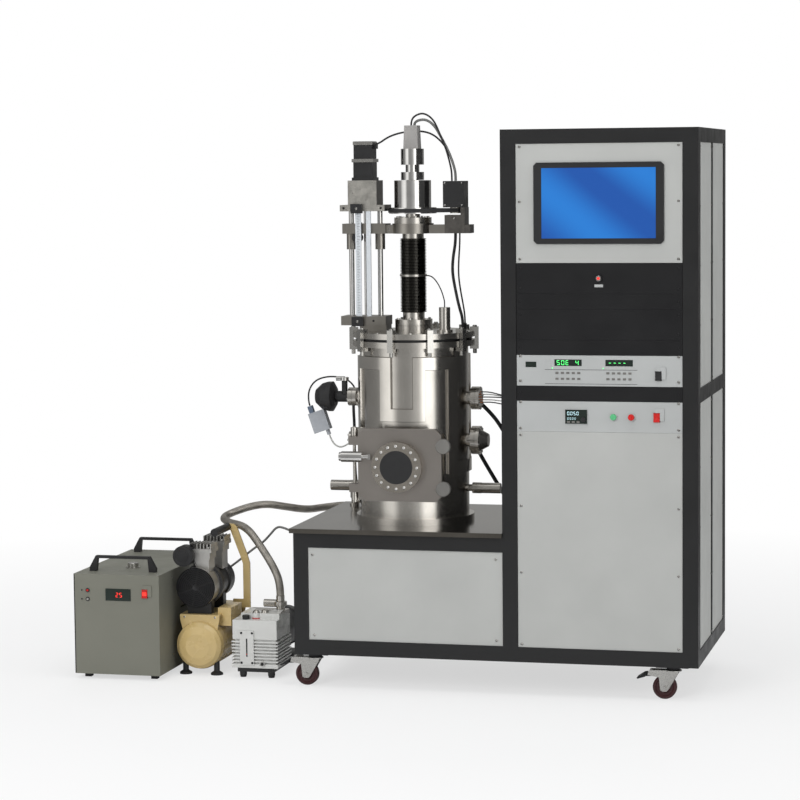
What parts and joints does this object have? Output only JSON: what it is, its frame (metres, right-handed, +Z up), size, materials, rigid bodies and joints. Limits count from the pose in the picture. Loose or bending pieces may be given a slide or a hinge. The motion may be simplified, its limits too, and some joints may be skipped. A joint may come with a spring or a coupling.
{
  "type": "vacuum evaporation coater",
  "caption": "Vacuum evaporation coater: steel bell chamber with door and lift on a bench, tall control cabinet on casters, and a chiller, compressor and backing pump at its side.",
  "frame": {"origin": "under the middle of the whole, on the floor", "axes": "X to the right seen from the front, Y away from the front, Z up"},
  "size_m": [1.914, 0.7436, 1.7133],
  "materials": {
    "frame_coat": "charcoal powder coat, fine texture",
    "panel_coat": "warm grey powder coat, fine texture",
    "black_coat": "satin black powder coat",
    "case_coat": "light grey satin paint",
    "table_steel": "dark reflective brushed steel sheet",
    "stainless": "machined and brushed stainless steel",
    "chrome_steel": "ground and polished steel",
    "zinc_steel": "bright zinc plated steel",
    "aluminium_milled": "milled aluminium with swirl marks",
    "black_plastic": "matt black plastic",
    "window_glass": "clear borosilicate glass",
    "red_plastic": "glossy red plastic",
    "green_plastic": "glossy green plastic",
    "black_rubber": "matt black rubber",
    "wheel_rubber": "dark maroon hard rubber",
    "copper": "bare copper",
    "chiller_coat": "olive grey textured powder coat",
    "cream_coat": "cream gloss enamel",
    "pump_coat": "off-white enamel",
    "motor_black": "black painted laminations"
  },
  "bodies": {
    "machine": {"main_frame": "frame_coat", "bench_top": "table_steel", "bench_panels": "panel_coat", "cabinet_panels": "panel_coat", "rack_panels": "panel_coat", "touch_monitor": "black_plastic", "control_computer": "black_coat", "rack_blanks": "black_coat", "gauge_controller": "case_coat", "pump_controller": "case_coat", "caster_plates": "black_coat", "chamber_body": "stainless", "cooling_jacket": "stainless", "chamber_lid": "stainless", "lid_clamps": "zinc_steel", "door_hinge": "stainless", "port_fittings": "stainless", "vacuum_gauge": "aluminium_milled", "vapour_sources": "copper", "high_vacuum_pump": "stainless", "lift_frame": "aluminium_milled", "lift_motor": "motor_black", "bellows": "stainless", "chiller_case": "chiller_coat", "air_compressor": "cream_coat", "backing_pump": "pump_coat", "vacuum_hose": "stainless", "signal_cables": "black_rubber", "lift_cables": "black_rubber"},
    "caster_front_left": {"caster_fork_front_left": "zinc_steel"},
    "wheel_front_left": {"caster_wheel_front_left": "wheel_rubber"},
    "brake_front_left": {"caster_brake_front_left": "black_coat"},
    "caster_front_right": {"caster_fork_front_right": "zinc_steel"},
    "wheel_front_right": {"caster_wheel_front_right": "wheel_rubber"},
    "brake_front_right": {"caster_brake_front_right": "black_coat"},
    "caster_rear_left": {"caster_fork_rear_left": "zinc_steel"},
    "wheel_rear_left": {"caster_wheel_rear_left": "wheel_rubber"},
    "caster_rear_right": {"caster_fork_rear_right": "zinc_steel"},
    "wheel_rear_right": {"caster_wheel_rear_right": "wheel_rubber"},
    "power_button": {"computer_button": "chrome_steel"},
    "start": {"start_button": "green_plastic"},
    "stop": {"stop_button": "red_plastic"},
    "gauge_switch": {"gauge_rocker": "black_plastic"},
    "mains_switch": {"mains_rocker": "red_plastic"},
    "chiller_switch": {"chiller_rocker": "black_plastic"},
    "speed_dial": {"speed_knob": "black_plastic"},
    "door": {"chamber_door": "stainless", "viewport_flange": "stainless", "viewport_glass": "window_glass"},
    "door_knob_upper": {"door_clamp_upper": "stainless"},
    "door_knob_lower": {"door_clamp_lower": "stainless"},
    "shutter": {"source_shutter": "stainless"},
    "carriage": {"lift_carriage": "aluminium_milled", "rotary_feedthrough": "stainless", "rotation_motor": "motor_black", "drive_belt": "black_rubber"},
    "screw": {"lead_screw": "chrome_steel"},
    "drum": {"drive_drum": "chrome_steel"},
    "rotor": {"substrate_rotor": "stainless"},
    "pulley": {"motor_pulley": "aluminium_milled"}
  },
  "joints": [
    {"name": "swivel_front_left", "type": "hinge", "parent": "machine", "child": "caster_front_left", "pos_m": [-0.203, -0.27, 0.09], "axis": [0, 0, 1], "continuous": true},
    {"name": "roll_front_left", "type": "hinge", "parent": "caster_front_left", "child": "wheel_front_left", "pos_m": [-0.228, -0.27, 0.035], "axis": [0, 1, 0], "continuous": true},
    {"name": "brake_pedal_front_left", "type": "hinge", "parent": "caster_front_left", "child": "brake_front_left", "pos_m": [-0.265, -0.27, 0.0725], "axis": [0, -1, 0], "range_deg": [0, 14]},
    {"name": "swivel_front_right", "type": "hinge", "parent": "machine", "child": "caster_front_right", "pos_m": [0.879, -0.27, 0.09], "axis": [0, 0, 1], "continuous": true},
    {"name": "roll_front_right", "type": "hinge", "parent": "caster_front_right", "child": "wheel_front_right", "pos_m": [0.854, -0.27, 0.035], "axis": [0, 1, 0], "continuous": true},
    {"name": "brake_pedal_front_right", "type": "hinge", "parent": "caster_front_right", "child": "brake_front_right", "pos_m": [0.817, -0.27, 0.0725], "axis": [0, -1, 0], "range_deg": [0, 14]},
    {"name": "swivel_rear_left", "type": "hinge", "parent": "machine", "child": "caster_rear_left", "pos_m": [-0.203, 0.28, 0.09], "axis": [0, 0, 1], "continuous": true},
    {"name": "roll_rear_left", "type": "hinge", "parent": "caster_rear_left", "child": "wheel_rear_left", "pos_m": [-0.228, 0.28, 0.035], "axis": [0, 1, 0], "continuous": true},
    {"name": "swivel_rear_right", "type": "hinge", "parent": "machine", "child": "caster_rear_right", "pos_m": [0.879, 0.28, 0.09], "axis": [0, 0, 1], "continuous": true},
    {"name": "roll_rear_right", "type": "hinge", "parent": "caster_rear_right", "child": "wheel_rear_right", "pos_m": [0.854, 0.28, 0.035], "axis": [0, 1, 0], "continuous": true},
    {"name": "power_button_press", "type": "slide", "parent": "machine", "child": "power_button", "axis": [0, 1, 0], "range_m": [0, 0.003], "stiffness_N_per_m": 250, "springref_m": -0.001},
    {"name": "start_press", "type": "slide", "parent": "machine", "child": "start", "axis": [0, 1, 0], "range_m": [0, 0.003], "stiffness_N_per_m": 250, "springref_m": -0.001},
    {"name": "stop_press", "type": "slide", "parent": "machine", "child": "stop", "axis": [0, 1, 0], "range_m": [0, 0.003], "stiffness_N_per_m": 250, "springref_m": -0.001},
    {"name": "gauge_switch_rock", "type": "hinge", "parent": "machine", "child": "gauge_switch", "pos_m": [0.8418, -0.316, 0.94551], "axis": [1, 0, 0], "range_deg": [0, 12]},
    {"name": "mains_switch_rock", "type": "hinge", "parent": "machine", "child": "mains_switch", "pos_m": [0.8368, -0.316, 0.8255], "axis": [1, 0, 0], "range_deg": [0, 12]},
    {"name": "chiller_switch_rock", "type": "hinge", "parent": "machine", "child": "chiller_switch", "pos_m": [-0.728, -0.313, 0.267], "axis": [1, 0, 0], "range_deg": [0, 12]},
    {"name": "speed_dial_turn", "type": "hinge", "parent": "machine", "child": "speed_dial", "pos_m": [0.6242, -0.319, 0.8175], "axis": [0, 1, 0], "range_deg": [0, 270]},
    {"name": "door_swing", "type": "hinge", "parent": "machine", "child": "door", "pos_m": [-0.089, -0.215, 0.666], "axis": [0, 0, -1], "range_deg": [0, 110]},
    {"name": "door_knob_upper_turn", "type": "hinge", "parent": "door", "child": "door_knob_upper", "pos_m": [0.191, -0.24, 0.7245], "axis": [0, -1, 0], "continuous": true},
    {"name": "door_knob_lower_turn", "type": "hinge", "parent": "door", "child": "door_knob_lower", "pos_m": [0.191, -0.24, 0.5975], "axis": [0, -1, 0], "continuous": true},
    {"name": "shutter_turn", "type": "hinge", "parent": "machine", "child": "shutter", "pos_m": [-0.155, -0.03, 0.577], "axis": [1, 0, 0], "range_deg": [0, 90]},
    {"name": "lift_slide", "type": "slide", "parent": "machine", "child": "carriage", "axis": [0, 0, 1], "range_m": [-0.11, 0.02], "deforming": ["bellows", "lift_cables"]},
    {"name": "screw_turn", "type": "hinge", "parent": "machine", "child": "screw", "pos_m": [-0.095, -0.03, 1.25], "axis": [0, 0, 1], "range_deg": [-8000, 1500]},
    {"name": "drum_turn", "type": "hinge", "parent": "carriage", "child": "drum", "pos_m": [0.053, -0.03, 1.45], "axis": [0, 0, 1], "continuous": true},
    {"name": "rotor_turn", "type": "hinge", "parent": "carriage", "child": "rotor", "pos_m": [0.053, -0.03, 1.2], "axis": [0, 0, 1], "continuous": true},
    {"name": "pulley_turn", "type": "hinge", "parent": "carriage", "child": "pulley", "pos_m": [0.186, -0.03, 1.418], "axis": [0, 0, 1], "continuous": true}
  ],
  "couplings": [
    {"joint": "screw_turn", "follows": "lift_slide", "rad_per_m": 1256.6},
    {"joint": "rotor_turn", "follows": "drum_turn", "ratio": 1},
    {"joint": "pulley_turn", "follows": "drum_turn", "ratio": 4.2353}
  ]
}
